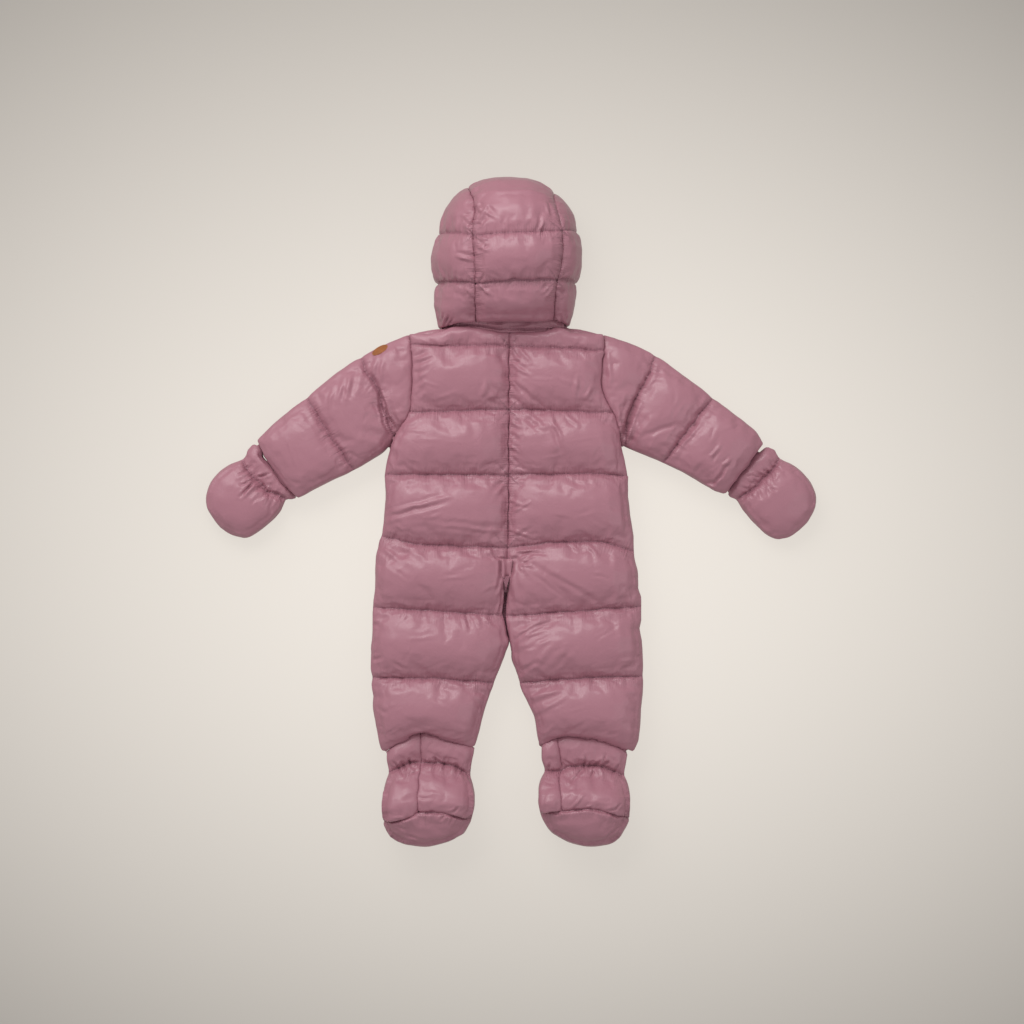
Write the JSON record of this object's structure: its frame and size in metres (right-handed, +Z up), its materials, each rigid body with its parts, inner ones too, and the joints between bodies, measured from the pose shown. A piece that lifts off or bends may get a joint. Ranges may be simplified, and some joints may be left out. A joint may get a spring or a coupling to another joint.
{
  "type": "baby snowsuit",
  "caption": "Quilted baby snowsuit with hood, gathered mittens and booties, laid flat on its front with the back up.",
  "frame": {"origin": "centre of the laid suit's outline, on the surface it lies on", "axes": "+Z up from the surface, +Y from the feet towards the hood, +X towards the wearer's right arm"},
  "size_m": [0.734, 0.8018, 0.1169],
  "materials": {
    "padded_shell": "glossy dusty mauve down-proof nylon, quilted",
    "zip_tape": "woven zip tape with moulded teeth, dark mauve",
    "zip_metal": "lacquered die-cast slider and pull",
    "patch_leather": "tan leather, bare"
  },
  "bodies": {
    "suit": {"back_left": "padded_shell", "back_right": "padded_shell", "front_left": "padded_shell", "front_right": "padded_shell", "sleeve_left_upper": "padded_shell", "sleeve_left_under": "padded_shell", "sleeve_right_upper": "padded_shell", "sleeve_right_under": "padded_shell", "mitten_left_back": "padded_shell", "mitten_left_palm": "padded_shell", "mitten_right_back": "padded_shell", "mitten_right_palm": "padded_shell", "bootie_left_heel_outer": "padded_shell", "bootie_left_heel_inner": "padded_shell", "bootie_left_sole": "padded_shell", "bootie_left_instep": "padded_shell", "bootie_right_heel_outer": "padded_shell", "bootie_right_heel_inner": "padded_shell", "bootie_right_sole": "padded_shell", "bootie_right_instep": "padded_shell", "hood_left": "padded_shell", "hood_middle": "padded_shell", "hood_right": "padded_shell", "neck_band": "padded_shell", "zip_front": "zip_tape", "zip_seat": "zip_tape", "zip_slider": "zip_metal", "zip_garage": "padded_shell", "shoulder_patch": "patch_leather"},
    "pull": {"zip_pull": "zip_metal"}
  },
  "joints": [
    {"name": "zip_pull_swing", "type": "hinge", "parent": "suit", "child": "pull", "pos_m": [-0.003, 0.212, 0.0062], "axis": [1, 0, 0], "range_deg": [-18, 130]}
  ]
}
